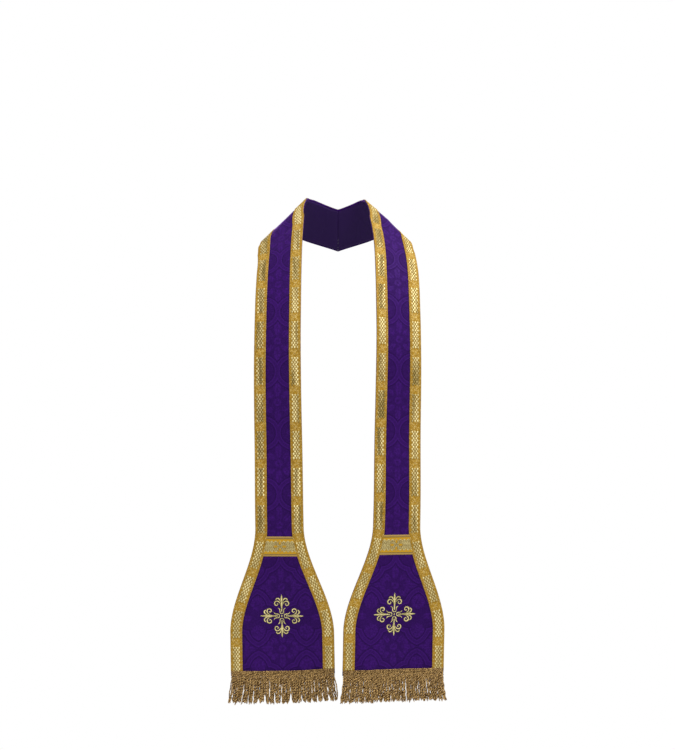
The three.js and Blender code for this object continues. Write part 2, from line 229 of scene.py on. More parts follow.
def curve_through(distances, rows):
    """A smooth curve through rows of numbers that lie at uneven distances."""
    spans = np.diff(distances)[:, None]
    between = np.diff(rows, axis=0) / spans
    inside = (between[:-1] * spans[1:] + between[1:] * spans[:-1]) / (spans[:-1] + spans[1:])
    slopes = np.concatenate([between[:1], inside, between[-1:]])

    def at(distance):
        i = np.clip(np.searchsorted(distances, distance, side="right") - 1, 0, len(spans) - 1)
        span = spans[i]
        t = (distance - distances[i])[..., None] / span
        start = 2 * t**3 - 3 * t**2 + 1
        leaving = (t**3 - 2 * t**2 + t) * span
        arriving = (t**3 - t**2) * span
        ends = start * rows[i] + (1 - start) * rows[i + 1]
        return ends + leaving * slopes[i] + arriving * slopes[i + 1]

    return at


class Half:
    """One half of the stole: its flat cut, and how that cut lies when the stole is worn."""

    def __init__(self, facts, sizes):
        self.facts = facts
        self.sizes = sizes
        self.name = facts["name"]
        self.side = facts["side"]
        inner, outer = (np.array([row[edge] for row in DRAPE]) * MM for edge in ("inner", "outer"))
        middles = (inner + outer) / 2
        distances = run_of(middles)
        self.length = distances[-1]
        self.middle_at = curve_through(distances, middles)
        self.ruling_at = curve_through(distances, outer - inner)
        self.heading_top = self.length + sizes.heading_below_hem - sizes.heading_height

    def width(self, along):
        """Half the cut's width at a distance from the seam."""
        s = self.sizes
        strip = np.interp(along, [0, self.length - s.bell_start], [s.neck_width, s.strip_width])
        bell = 1 - smoothstep(self.length - along, s.bell_full, s.bell_start)
        return (strip + (s.bell_width - strip) * bell) / 2

    def flare(self, along):
        return (self.width(along + STEP) - self.width(along - STEP)) / (2 * STEP)

    def border(self, along):
        """Where the galloon's inner border lies, measured from the middle line."""
        return self.width(along) - self.sizes.galloon_width * np.hypot(1, self.flare(along))

    def area(self, inset=0.0):
        """The flat area of the cut, or of a cut that is smaller by inset at each edge."""
        along = np.linspace(0, self.length - inset, 1000)
        return float(2 * (self.width(along) - inset).mean() * along[-1])

    def place(self, along, across):
        """Where the cloth lies before its swells, and the way across it."""
        tangent = unit(self.middle_at(along + STEP) - self.middle_at(along - STEP))
        differ = smoothstep(along, TURN_START, TURN_FULL)
        neckward = self.facts["neckward"] * MM * np.exp(-(((along - SHOULDER) / SHOULDER_REACH) ** 2))
        ruling = self.ruling_at(along)
        ruling[..., 0] += neckward
        ruling = unit(turned(ruling, math.radians(self.facts["turn"]) * differ))
        squareness = np.linalg.norm(np.cross(tangent, ruling), axis=-1)
        point = self.middle_at(along) + ruling * (across / squareness)[..., None]
        outward = sum(
            one["out"] * MM * np.exp(-(((along / MM - one["at"]) / one["reach"]) ** 2))
            for one in self.facts["bulges"]
        )
        point[..., 0] += outward * np.clip(across / BULGE_FULL, 0, 1) - neckward / 2
        near_hem = smoothstep(along, self.length - CORNER_REACH, self.length)
        corner = smoothstep(-across, CORNER_START, CORNER_FULL) * near_hem
        point[..., 2] += self.facts["raised"] * MM * differ + self.facts["corner"] * MM * corner
        return point, ruling

    def swell(self, along, across):
        """How far the cloth stands out from its drape."""
        height = self.length - along
        depth = np.zeros_like(along)
        for one in SWELLS:
            lengthwise = (height / MM - one["height"] - self.facts["swell_shift"]) / one["along"]
            crosswise = (across / MM * self.facts["swell_sign"] - one["across"]) / one["wide"]
            depth += one["depth"] * MM * np.exp(-(lengthwise**2) - crosswise**2)
        from_border = (np.abs(across) - self.border(along) + PUCKER_INSIDE) / PUCKER_REACH
        wander = np.sin(along / PUCKER_LENGTH * 1.7 + self.side) * 1.3
        drawn = np.sin(along / PUCKER_LENGTH * 2 * math.pi + wander + np.sign(across) * 1.1)
        return depth + PUCKER_DEPTH * drawn * np.exp(-(from_border**2))

    def lay(self, along, across, lift):
        """The place in space of points of the flat cut, raised off the damask by lift."""
        along, across, lift = np.broadcast_arrays(along, across, lift)
        point, ruling = self.place(along, across)
        ahead, _ = self.place(along + STEP, across)
        behind, _ = self.place(along - STEP, across)
        outward = unit(np.cross(ahead - behind, ruling))
        near_seam = np.clip(1 - along / SEAM_REACH, 0, 1)
        outward[..., 0] *= 1 - near_seam
        outward /= (outward**2).sum(-1, keepdims=True)
        point[..., 0] += near_seam * SEAM_GAP / 2
        point += outward * (self.swell(along, across) + lift)[..., None]
        point[..., 0] *= self.side
        return point


def quads(rows, columns, ring=False, flip=False, copies=1):
    """The faces of grids of points, one grid after another. A ring's last column joins its first."""
    i = np.arange(rows - 1)[:, None]
    j = np.arange(columns if ring else columns - 1)[None]
    a = i * columns + j
    b = i * columns + (j + 1) % columns
    corners = [a, b, b + columns, a + columns] if flip else [a, a + columns, b + columns, b]
    one = np.stack(corners, -1).reshape(-1, 4)
    starts = np.arange(copies)[:, None, None] * rows * columns
    return (one[None] + starts).reshape(-1, 4)


def new_piece(name, points, faces, flat, material, slot, nodes=(), caps=()):
    """A smooth mesh with flat coordinates in metres, riding on the stole in place of its CAD nodes."""
    mesh = bpy.data.meshes.new(name)
    mesh.from_pydata(points.reshape(-1, 3).tolist(), [], [*faces.tolist(), *caps])
    mesh.polygons.foreach_set("use_smooth", np.ones(len(mesh.polygons), bool))
    corners = np.empty(len(mesh.loops), np.int32)
    mesh.loops.foreach_get("vertex_index", corners)
    layer = mesh.uv_layers.new(name="flat")
    layer.data.foreach_set("uv", flat.reshape(-1, 2)[corners].astype(np.float32).ravel())
    mesh.materials.append(material)
    piece = bpy.data.objects.new(name, mesh)
    bpy.context.scene.collection.objects.link(piece)
    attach(piece, "root")
    if nodes:
        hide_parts(*nodes)
    return piece


def ring_cloth(half, alongs, across, lift):
    """Points, faces, flat coordinates and caps of a cloth with thickness.

    Each row is a ring of points, out over the top and back along the underside.
    """
    rows, columns = across.shape
    points = half.lay(alongs, across, lift)
    faces = quads(rows, columns, ring=True, flip=half.side < 0)
    rim = np.arange(columns)[:: half.side]
    caps = [rim.tolist(), (rim[::-1] + (rows - 1) * columns).tolist()]
    middle = half.lay(alongs, np.zeros((rows, 1)), 0)
    way = unit(np.gradient(middle, axis=0))
    along = alongs + ((half.lay(alongs, across, 0) - middle) * way).sum(-1)
    return points, faces, np.stack([across, along], -1), caps


def square_to(paths):
    """Two ways square to each path at every one of its points: forward, and aside."""
    tangent = unit(np.gradient(paths, axis=1))
    forward = np.broadcast_to(np.array([0.0, 1.0, 0.0]), tangent.shape)
    normal = unit(forward - (forward * tangent).sum(-1, keepdims=True) * tangent)
    return normal, np.cross(tangent, normal)


def tubes(paths, radii, sides):
    """Points and faces of round threads along paths of the same count of points."""
    normal, aside = square_to(paths)
    angle = np.arange(sides) * 2 * math.pi / sides
    ring = normal[:, :, None] * np.cos(angle)[:, None] + aside[:, :, None] * np.sin(angle)[:, None]
    points = paths[:, :, None] + ring * radii[:, :, None, None]
    return points, quads(paths.shape[1], sides, ring=True, flip=True, copies=len(paths))


def two_ply(paths, radius, twist, phases):
    """The two plies of each twisted cord: their paths wind round the cord's own."""
    normal, aside = square_to(paths)
    run = run_of(paths)
    plies = []
    for ply in (0, math.pi):
        angle = (run / twist * 2 * math.pi + phases[:, None] + ply)[..., None]
        plies.append(paths + (normal * np.cos(angle) + aside * np.sin(angle)) * radius[..., None])
    return np.concatenate(plies), np.concatenate([run, run])


def satin_threads(half, starts, ends, rise, lift):
    """Points, faces and flat coordinates of threads that arch over the cloth from start to end.

    The starts and ends are rows of (along, across).
    """
    span = ends - starts
    way = unit(span)
    beside = np.stack([-way[:, 1], way[:, 0]], -1)
    t = np.linspace(0, 1, THREAD_STEPS + 1)
    around = np.linspace(0, math.pi, THREAD_FACES + 1)
    arch = np.sqrt(np.clip(1 - (2 * t - 1) ** 4, 0, 1))
    line = starts[:, None] + span[:, None] * t[:, None]
    spread = np.cos(around) * THREAD_WIDTH / 2
    at = line[:, :, None] + beside[:, None, None] * spread[:, None]
    over = rise[:, None] * arch
    height = lift + over[:, :, None] + np.sin(around) * THREAD_WIDTH * THREAD_HEIGHT
    points = half.lay(at[..., 0], at[..., 1], height)
    faces = quads(THREAD_STEPS + 1, THREAD_FACES + 1, flip=half.side > 0, copies=len(starts))

    # The whole part of the first coordinate is the thread's number, to its very end.
    number = (np.arange(len(starts))[:, None] + t * 0.98)[:, :, None] + np.zeros(height.shape)
    reach = np.broadcast_to((t * np.linalg.norm(span, axis=1)[:, None])[:, :, None], height.shape)
    return points, faces, np.stack([number, reach], -1)


class Value:
    """A shader socket. Arithmetic on it adds the Math nodes that work it out."""

    def __init__(self, tree, socket):
        self.tree = tree
        self.socket = socket

    def maths(self, operation, *others):
        return self.tree.node("Math", {"operation": operation}, dict(enumerate((self, *others))))

    def reflected(self, operation, other):
        return self.tree.node("Math", {"operation": operation}, {0: other, 1: self})

    __add__ = partialmethod(maths, "ADD")
    __sub__ = partialmethod(maths, "SUBTRACT")
    __mul__ = partialmethod(maths, "MULTIPLY")
    __truediv__ = partialmethod(maths, "DIVIDE")
    __pow__ = partialmethod(maths, "POWER")
    __mod__ = partialmethod(maths, "FLOORED_MODULO")
    __abs__ = partialmethod(maths, "ABSOLUTE")
    __radd__ = partialmethod(reflected, "ADD")
    __rsub__ = partialmethod(reflected, "SUBTRACT")
    __rmul__ = partialmethod(reflected, "MULTIPLY")
    __rtruediv__ = partialmethod(reflected, "DIVIDE")
    sin = partialmethod(maths, "SINE")
    cos = partialmethod(maths, "COSINE")
    root = partialmethod(maths, "SQRT")
    angle = partialmethod(maths, "ARCTAN2")
    nearest = partialmethod(maths, "ROUND")
    whole = partialmethod(maths, "FLOOR")
    most = partialmethod(maths, "MAXIMUM")
    least = partialmethod(maths, "MINIMUM")

    def within(self, low, high):
        """The value, kept from low to high."""
        return self.least(high).most(low)

    def rise(self, low, high):
        """From 0 below low to 1 above high."""
        ends = {"Value": self, "From Min": low, "From Max": high}
        return self.tree.node("MapRange", {"interpolation_type": "SMOOTHSTEP"}, ends)

    def fall(self, low, high):
        """From 1 below low to 0 above high."""
        return 1 - self.rise(low, high)

    def line(self, at, core, rim):
        """A soft line where the value is at a number: 1 within core of it, 0 beyond rim."""
        return abs(self - at).fall(core, rim)

    def wave(self, pitch):
        """A sine wave that repeats after a pitch."""
        return (self * (2 * math.pi / pitch)).sin()


class Tree:
    """A node tree, with one method that adds any node."""

    def __init__(self, node_tree):
        self.nodes = node_tree.nodes
        self.links = node_tree.links
        self.nodes.clear()

    def node(self, kind, settings=None, inputs=None, output=0):
        made = self.nodes.new("ShaderNode" + kind)
        made.location = (len(self.nodes) % 12 * 180, -(len(self.nodes) // 12) * 200)
        for name, value in (settings or {}).items():
            setattr(made, name, value)
        for name, value in (inputs or {}).items():
            if isinstance(value, Value):
                self.links.new(value.socket, made.inputs[name])
            else:
                made.inputs[name].default_value = value
        return Value(self, made.outputs[output]) if made.outputs else None


def tint(colour):
    """A colour as a socket takes it. A name stands for a colour of the panel."""
    return (*getattr(bpy.context.scene.stole_colours, colour), 1.0) if isinstance(colour, str) else colour


class Finish(Tree):
    """A material's node tree."""

    def __init__(self, name):
        self.material = bpy.data.materials.new(name)
        self.material.use_nodes = True
        super().__init__(self.material.node_tree)

    def flat(self, scale=1.0):
        """The cloth's own flat coordinates, across and along, times a scale."""
        place = self.node("UVMap", {"uv_map": "flat"})
        return [self.node("SeparateXYZ", None, {0: place}, axis) * scale for axis in (0, 1)]

    def place(self):
        """The place in the object, in metres."""
        return self.node("TexCoord", None, None, 3)

    def sideways(self):
        """How far to the side the place is, in metres. It tells the four galloons apart."""
        return self.node("SeparateXYZ", None, {0: self.place()}, 0)

    def mix(self, share, start, end):
        """The colour between two colours."""
        return self.node("Mix", {"data_type": "RGBA"}, {0: share, 6: tint(start), 7: tint(end)}, 2)

    def spot(self, *values):
        return self.node("CombineXYZ", None, dict(enumerate(values)))

    def chance(self, *values):
        """A steady random number for each set of whole numbers."""
        return self.node("TexWhiteNoise", {"noise_dimensions": "3D"}, {"Vector": self.spot(*values)})

    def cloudy(self, scale, detail=3.0, spot=None):
        """Soft variation through the object, or through the spots given."""
        inputs = {"Vector": spot or self.place(), "Scale": scale, "Detail": detail}
        return self.node("TexNoise", None, inputs)

    def surface(self, colour, roughness, height=None, depth=0.0, metallic=0.0, specular=0.5, **constants):
        """Ends the tree in one principled surface, with constants on its own sockets."""
        inputs = {"Base Color": colour, "Roughness": roughness, "Metallic": metallic,
                  "Specular IOR Level": specular, **constants}
        if height is not None:
            inputs["Normal"] = self.node("Bump", None, {"Strength": 1.0, "Distance": depth, "Height": height})
        self.node("OutputMaterial", None, {"Surface": self.node("BsdfPrincipled", None, inputs)})
        return self.material


def length_of(x, y):
    return (x * x + y * y).root()


def oval(x, y, wide, tall):
    """The distance from the middle of an oval, as a share of its half widths."""
    return length_of(x / wide, y / tall)


def damask_finish():
    """Violet silk: rimmed medallions with roses in them, and stars of leaves between, in lighter satin."""
    finish = Finish("violet damask")
    across, along = finish.flat(1000)
    wide, tall, first = 84.0, 107.8, 891.0

    # Every quarter of the repeat is a mirror of the others. x and y start in the medallion's middle, and
    # edge is the distance out from its lobed rim.
    ripple = finish.cloudy(170.0, 1.0) * 3 - 1.5
    x = abs(across % wide - wide / 2)
    y = abs((along - first + tall / 2) % tall - tall / 2)
    edge = (length_of(x - 16, y) - 29.5).least(length_of(x + 12, y - 16.4) - 36.5)
    lines = edge.line(-1, 0.5, 1.3).most(edge.line(-6.8, 0.5, 1.3))
    rim = lines.most(edge.line(-4, 3, 3.8) * 0.28)
    beside_rim = edge.line(-9, 0.6, 1.5).most(edge.line(1.4, 0.5, 1.3))
    above_rose = y - 25.5
    rose, rose_turn = length_of(x, above_rose) + ripple * 0.5, above_rose.angle(x) * 4
    petals = (rose - abs(rose_turn.cos()) * 2.2 - 11).fall(-0.7, 0.7)
    folds = abs(rose_turn.sin()).fall(0.1, 0.3) * rose.rise(4, 6) + rose.line(4, 0.4, 1.2)
    bud = (oval(x - 18, y, 9, 5.5) + ripple * 0.1).fall(0.8, 1.1) * abs(y).rise(0.3, 1)
    medallion = (petals - petals * folds.least(1) * 0.6).most(bud) * edge.fall(-9.8, -9.2)

    # The star between four medallions, measured from its own middle.
    sx, sy = wide / 2 - x, tall / 2 - y
    upright = oval(sy - 23, sx, 14, 5.6)
    level = oval(sx - 27, sy, 12, 4.6)
    leaflet = oval(sx - 22, sy - 8.5, 5, 5.2)
    slanting = oval(sx + sy - 27, sx - sy, 11, 6.5)
    leaves = (upright.least(level).least(leaflet).least(slanting) + ripple * 0.14).fall(0.8, 1.15)
    veins = sx.least(sy).fall(0.3, 1).most(abs(sx - sy).fall(0.2, 0.7))
    from_star = length_of(sx, sy)
    dots = from_star.line(10, 0.8, 1.6) * (sy.angle(sx) * 8).cos().rise(0.2, 0.7)
    heart = from_star.fall(6, 7.4) - from_star.fall(1.8, 2.8)
    star = (leaves - leaves * veins * 0.6).most(heart) * edge.rise(1.8, 2.8) - dots * 0.5

    mottle = finish.cloudy(300.0, 2.0).rise(0.25, 0.75)
    figure = rim.most(medallion.most(star) * (mottle * 0.9 + 0.25)) - beside_rim * 0.5
    cloud, grain = finish.cloudy(7.0), finish.cloudy(1100.0, 2.0)
    share = figure * 0.45 + cloud * 0.35 + grain * 0.6 + mottle * 0.25 - 0.38
    colour = finish.mix(share.within(0, 1), "ground", "figure")
    weave = ((across + along * 0.5) * 9).sin() * 0.3 + (along * 2.1).sin() * 0.1
    height = figure * 0.8 + weave * (1 - figure * 0.6)
    sheen = {"Sheen Weight": 0.8, "Sheen Roughness": 0.3, "Sheen Tint": tint("sheen")}
    return finish.surface(colour, 0.6 - figure * 0.1, height, 0.00012, specular=0.03, **sheen)


def lining_finish():
    """A plain satin lining."""
    finish = Finish("lining satin")
    across, along = finish.flat(1000)
    cloud = finish.cloudy(14.0)
    colour = finish.mix(cloud, "lining", "ground")
    height = ((across * 3 + along) * 2.5).sin() * 0.4 + cloud * 2
    return finish.surface(colour, 0.5 + cloud * 0.1, height, 0.0001, specular=0.12)


def lattice(across, along, unit_length, nearest):
    """A spot's place among the galloon's lozenges. The unit's length is in metres.

    Gives its two slanting distances from the nearest lozenge's middle, in lozenges, that lozenge's
    two numbers, and its column and row, in the unit.
    """
    wide, long = LOZENGE_WIDE / unit_length, LOZENGE_LONG / unit_length
    block = along % (BLOCK_REPEAT / unit_length) - BLOCK_LENGTH / 2 / unit_length
    s, t = across / wide + block / long, across / wide - block / long
    near_s, near_t = nearest(s), nearest(t)
    column, row = (near_s + near_t) * (wide / 2), (near_s - near_t) * (long / 2)
    return s - near_s, t - near_t, near_s, near_t, column, row


def galloon_finish():
    """Amber silk galloon with blocks of gilt lozenges in painted glint and painted shade, and corded edges.
    """
    finish = Finish("gold galloon")
    across, along = finish.flat(1000)
    repeat, length, reach = BLOCK_REPEAT / MM, BLOCK_LENGTH / MM, LATTICE_REACH / MM
    block = along % repeat
    off_s, off_t, near_s, near_t, column, row = lattice(across, along, MM, Value.nearest)
    lozenge = abs(off_s).most(abs(off_t))
    within = abs(column).fall(reach, reach + 0.1) * abs(row).fall(length / 2 - 1, length / 2)
    woven = lozenge.fall(0.29, 0.4) * within

    # Painted glint and painted shade: the lozenges of a block are painted bright or dark together, as if
    # turned to or from the light, more in some galloons than in others, and brighter on the bell.
    number = (along / repeat).whole()
    spot = finish.spot(column * 0.1, number * 3.7 + block * 0.009, finish.sideways() * 120)
    glint = finish.cloudy(1.0, 1.0, spot)
    painted_glint_bias = ((finish.sideways() - BRIGHT_AT) * (2 * math.pi / BRIGHT_WAVE)).cos()
    luck = finish.chance(near_s, near_t, number)
    on_bell = along.rise(20, 70)
    bright = glint * 2.4 - 0.8 + painted_glint_bias * (1 - on_bell) * 0.15 + on_bell * 0.06 + (luck - 0.5) * 0.3
    bright = bright.within(on_bell * 0.35, 0.9 - on_bell * 0.2)

    # Between the blocks the silk has crossing lines and a flower, and dots run along its edges.
    from_middle = abs(block - (repeat + length) / 2)
    crossing = abs(abs(across) * 1.1 - from_middle).fall(0.5, 1.4) * abs(across).fall(6, 6.6)
    flower = length_of(across, from_middle).fall(1.6, 2.8)
    motif = crossing.most(flower) * (1 - within)
    dots = abs(across).line(7.6, 0.3, 0.7) * along.wave(2.5).rise(-0.2, 0.4)
    selvedge = abs(across).rise(9.4, 9.9)
    ribs = along.wave(1.1)
    speck = finish.chance((across / 1.2).whole(), (along / 1.2).whole(), 1.0)
    silk = finish.mix(speck, "silk_shade", "silk")
    silk = finish.mix(speck.rise(0.84, 0.9) * 0.25, silk, "gilt")
    silk = finish.mix((dots * 0.5).most(selvedge * 0.4), silk, "outline")
    silk = finish.mix(motif * 0.1, silk, "gilt")
    # Painted shade: the gaps and the gilt lozenges go dark where the painted glint is low, and bright where
    # it is high.
    gap = finish.mix((bright * 1.8).least(1), "gap", "silk_shade")
    lozenge_gilt = finish.mix(bright, "gilt_shade", "gilt")
    colour = finish.mix(woven, finish.mix(within, silk, gap), lozenge_gilt)
    height = woven * (1 - lozenge * 2) * 1.5 + ribs * 0.2 * (1 - woven) + motif * 0.3 - dots * 0.3
    return finish.surface(colour, 0.55 - woven * 0.16, height, 0.00015, woven * 0.4, 0.06)


def band_finish():
    """The band: silvery-gold weave between scalloped amber borders, with a small quatrefoil in the middle."""
    finish = Finish("gold band")
    across, along = finish.flat(1000)
    away = abs(along)
    scallops = abs((across * math.pi / (SCALLOP_REPEAT / MM)).cos())
    inside_scallops = scallops * (SCALLOP_DEPTH / MM) + SCALLOP_START / MM - away
    middle = inside_scallops.rise(-0.3, 0.3)
    lobes = inside_scallops.rise(0.2, 0.9) * inside_scallops.fall(1.6, 2.6) * away.rise(7, 8.5)
    petals = oval(across, away - 6, 1.9, 3).least(oval(abs(across) - 7.5, along, 3.4, 2)).fall(0.85, 1.1)
    from_leaf = oval(across, along, 12.5, 9.5)
    outline = (from_leaf - abs((along.angle(across) * 4).cos()) * 0.12).line(0.82, 0.03, 0.07)
    chains = (across + (along * CHAIN_BEND).sin() * CHAIN_SWAY).wave(CHAIN_PITCH)
    luck = finish.chance((across / 1.5).whole(), (along / 1.3).whole(), 0.0)
    bright = chains * 0.25 + along.wave(2.4) * 0.18 + luck * 0.55 + 0.12
    bright = (bright - from_leaf.fall(0.8, 0.9) * 0.12 + lobes * 0.38).within(0, 1.3)
    speck = finish.chance((across / 1.2).whole(), (along / 1.2).whole(), 1.0)
    amber = finish.mix(speck * 0.5 + 0.25, "amber", "silk")
    weave = finish.mix(bright, "weave_shade", "weave")
    weave = finish.mix(outline * 0.5, weave, "silk_shade")
    colour = finish.mix(middle * (1 - petals), amber, weave)
    colour = finish.mix(away.rise(13.2, 13.5), colour, "band_edge")
    colour = finish.mix(away.line(13.6, 0.4, 0.7) * 0.9, colour, "line")
    relief = middle * (bright + 0.6) + petals * 0.6 + across.wave(1.1) * 0.15
    return finish.surface(colour, 0.55 - middle * 0.1, relief, 0.0002, middle * 0.25, 0.06)


def thread_finish():
    """Pale gold embroidery thread, each thread with its own tone, with a painted highlight where it arches
    over and soft patches of painted shading.
    """
    finish = Finish("gold embroidery thread")
    number, reach = finish.flat()
    tone = finish.chance(number.whole(), 0.0, 0.0)
    arch = ((number % 1.0) * math.pi).sin()
    # Painted highlight along each thread's arch, and painted shading in soft patches, over each thread's own
    # tone.
    share = arch**2.5 * 1.05 + tone * 0.4 + finish.cloudy(130.0, 1.0) * 1.2 - 0.95
    colour = finish.mix(share.within(0, 1), "thread_shade", "thread")
    return finish.surface(colour, 0.36 + tone * 0.1, reach.wave(0.0008), 0.00004, 0.35, 0.4)


def sewing_finish():
    """Amber silk sewing thread."""
    finish = Finish("sewing thread")
    number, reach = finish.flat()
    tone = finish.chance(number.whole(), 0.0, 0.0)
    return finish.surface(finish.mix(tone, "silk_shade", "silk"), 0.55, reach.wave(0.0008), 0.00003)


def cord_finish():
    """Antique gold bullion: one ply bright and one darkened by painted shade, with fine threads wound round
    each.
    """
    finish = Finish("bullion cord")
    winding, reach = finish.flat()
    tone = finish.chance(winding.whole(), (reach / 0.0024).whole(), 0.0)
    # Painted shade: the second ply of each cord is painted darker, for the shade between the plies.
    painted_shade_ply = winding.rise(SECOND_PLY - 1, SECOND_PLY + 1)
    filament = ((winding % 1.0) * (4 * math.pi) + reach * (2 * math.pi / 0.0011)).sin()
    share = tone * 0.85 + filament * 0.1 + 0.25 - painted_shade_ply * 0.5
    colour = finish.mix(share.within(0, 1), "cord_shade", "cord")
    return finish.surface(colour, 0.45 - tone * 0.1, filament, 0.00008, 0.2, 0.15)


def length(name, millimetres, description):
    return FloatProperty(
        name=name, description=description, default=millimetres * MM, min=0.0, precision=4,
        subtype="DISTANCE", unit="LENGTH",
    )


def colour(name, default, description):
    return FloatVectorProperty(
        name=name, description=description, default=default, min=0.0, max=1.0, size=3, subtype="COLOR",
    )


class StoleSizes(bpy.types.PropertyGroup):
    """The cut of one half of the stole."""

    neck_width: length("Neck width", 80.5, "Width of the strip at the nape seam")
    strip_width: length("Strip width", 85, "Width of the strip above the bell")
    bell_width: length("Bell width", 182, "Width of the bell at the hem")
    bell_start: length("Bell start", 260, "Height above the hem where the bell begins")
    bell_full: length("Bell full", 75, "Height above the hem where the bell is at its full width")
    band_top: length("Band top", 244, "Height of the band's upper edge above the hem")
    band_height: length("Band height", 35, "Height of the band")
    galloon_width: length("Galloon width", 21, "Width of the galloon along the edges")
    cross_height: length("Cross height", 105, "Height of the cross's middle above the hem")
    cross_size: length("Cross size", 76, "Size of the cross from tip to tip")
    heading_height: length("Heading height", 13, "Height of the fringe's woven heading")
    heading_below_hem: length("Heading below hem", 4, "How far the heading reaches below the hem")
    fringe_length: length("Fringe length", 56, "Length of the fringe with its heading")
    fringe_splay: length("Fringe splay", 12, "How much wider the fringe is at its tips than at its heading")
    cord_radius: length("Cord radius", 1.35, "Radius of one twisted cord of the fringe")
    cord_count: IntProperty(name="Cords", description="Cords in one fringe", default=192, min=20, max=220)


class StoleColours(bpy.types.PropertyGroup):
    """The colours of the stole's cloth, silk and gold."""

    ground: colour("Damask ground", (0.0165, 0.0028, 0.053), "Ground of the damask")
    figure: colour("Damask figure", (0.037, 0.0058, 0.118), "Figure of the damask")
    sheen: colour("Damask sheen", (0.5, 0.2, 0.85), "Sheen of the damask at a glancing angle")
    lining: colour("Lining", (0.016, 0.0035, 0.05), "Satin lining")
    silk: colour("Silk", (0.38, 0.22, 0.021), "Amber silk of the galloon")
    silk_shade: colour("Silk shade", (0.21, 0.112, 0.012), "Darker threads of the amber silk")
    gilt: colour("Gilt", (0.82, 0.72, 0.36), "Bright woven gilt")
    gilt_shade: colour("Gilt shade", (0.26, 0.185, 0.05), "Gilt threads turned from the light")
    # Painted shade: the colour of the gaps between the lozenges where they lie in painted shade.
    gap: colour("Gap", (0.075, 0.05, 0.013), "Gaps between the gilt lozenges where they lie dark")
    amber: colour("Amber", (0.445, 0.225, 0.007), "Amber borders and quatrefoil of the band")
    weave: colour("Weave", (0.515, 0.435, 0.195), "Silvery-gold weave of the band")
    weave_shade: colour("Weave shade", (0.185, 0.125, 0.038), "Darker threads of the band's weave")
    band_edge: colour("Band edge", (0.31, 0.195, 0.055), "Corded gold edges of the band")
    line: colour("Line", (0.075, 0.062, 0.025), "Thin dark lines along the band's edges")
    outline: colour("Outline", (0.15, 0.08, 0.01), "Dark lines in the galloon")
    thread: colour("Thread", (0.76, 0.66, 0.31), "Embroidery thread")
    # Painted shade: the dark end of the embroidery's painted highlight and shading, and of its threads' own
    # tones.
    thread_shade: colour("Thread shade", (0.075, 0.055, 0.014), "Darker embroidery thread")
    cord: colour("Cord", (0.66, 0.425, 0.16), "Bullion cord")
    # Painted shade: the dark end of the cords' random tone and of the second ply's painted shade.
    cord_shade: colour("Cord shade", (0.052, 0.017, 0.003), "Darker bullion cord")


def halves():
    return [Half(facts, bpy.context.scene.stole_sizes) for facts in HALVES]


def for_halves(make, material):
    """Makes a piece for each half, and gives what its operator returns."""
    for half in halves():
        make(half, material)
    return {"FINISHED"}


class StageOperator(bpy.types.Operator):
    """Sets the camera, the soft studio light and the pale floor"""

    bl_idname = "stole.stage"
    bl_label = "Stage"

    def execute(self, context):
        scene = context.scene
        scene.view_settings.view_transform = "Standard"
        camera = bpy.data.objects.new("camera", bpy.data.cameras.new("camera"))
        camera.location = CAMERA_PLACE
        camera.rotation_euler = (math.radians(90), 0, 0)
        camera.data.lens = CAMERA_LENS
        camera.data.sensor_width = 36
        camera.data.sensor_fit = "AUTO"
        scene.collection.objects.link(camera)
        scene.camera = camera
        world = bpy.data.worlds.new("studio")
        world.use_nodes = True
        self.light_world(Tree(world.node_tree))
        scene.world = world
        for one in LIGHTS:
            data = bpy.data.lights.new(one["name"], "AREA")
            data.size = one["size"]
            data.energy = one["power"]
            light = bpy.data.objects.new(one["name"], data)
            light.location = one["place"]
            aim = Vector(LIGHTS_AIM) - Vector(one["place"])
            light.rotation_euler = aim.to_track_quat("-Z", "Y").to_euler()
            scene.collection.objects.link(light)
        angle = np.linspace(0, 2 * math.pi, FLOOR_CORNERS, endpoint=False)
        level = np.full(FLOOR_CORNERS, FLOOR_HEIGHT)
        rim = np.stack([FLOOR_RADIUS * np.cos(angle), FLOOR_RADIUS * np.sin(angle), level], -1)
        mesh = bpy.data.meshes.new("floor")
        mesh.from_pydata(rim.tolist(), [], [list(range(FLOOR_CORNERS))])
        finish = Finish("pale floor")
        pale = finish.mix(finish.cloudy(3.0), (0.8, 0.8, 0.79, 1), (0.84, 0.84, 0.83, 1))
        mesh.materials.append(finish.surface(pale, 0.8))
        floor = bpy.data.objects.new("floor", mesh)
        scene.collection.objects.link(floor)
        return {"FINISHED"}

    def light_world(self, tree):
        """White from a little below the horizon up, and dimmer from below, as in a white studio."""
        upward = tree.node("SeparateXYZ", None, {0: tree.node("TexCoord")}, 2)
        height = tree.node("MapRange", None, {"Value": upward, "From Min": -1})
        strength = tree.node("ValToRGB", None, {"Fac": height})
        stops = strength.socket.node.color_ramp.elements
        for stop, (at, level) in enumerate(((0.1, 0.3), (0.36, 1.0), (0.64, 1.0), (0.85, 1.0))):
            element = stops[stop] if stop < 2 else stops.new(at)
            element.position = at
            element.color = (level, level, level, 1)
        background = tree.node("Background", None, {"Color": (1, 1, 1, 1), "Strength": strength})
        tree.node("OutputWorld", None, {"Surface": background})


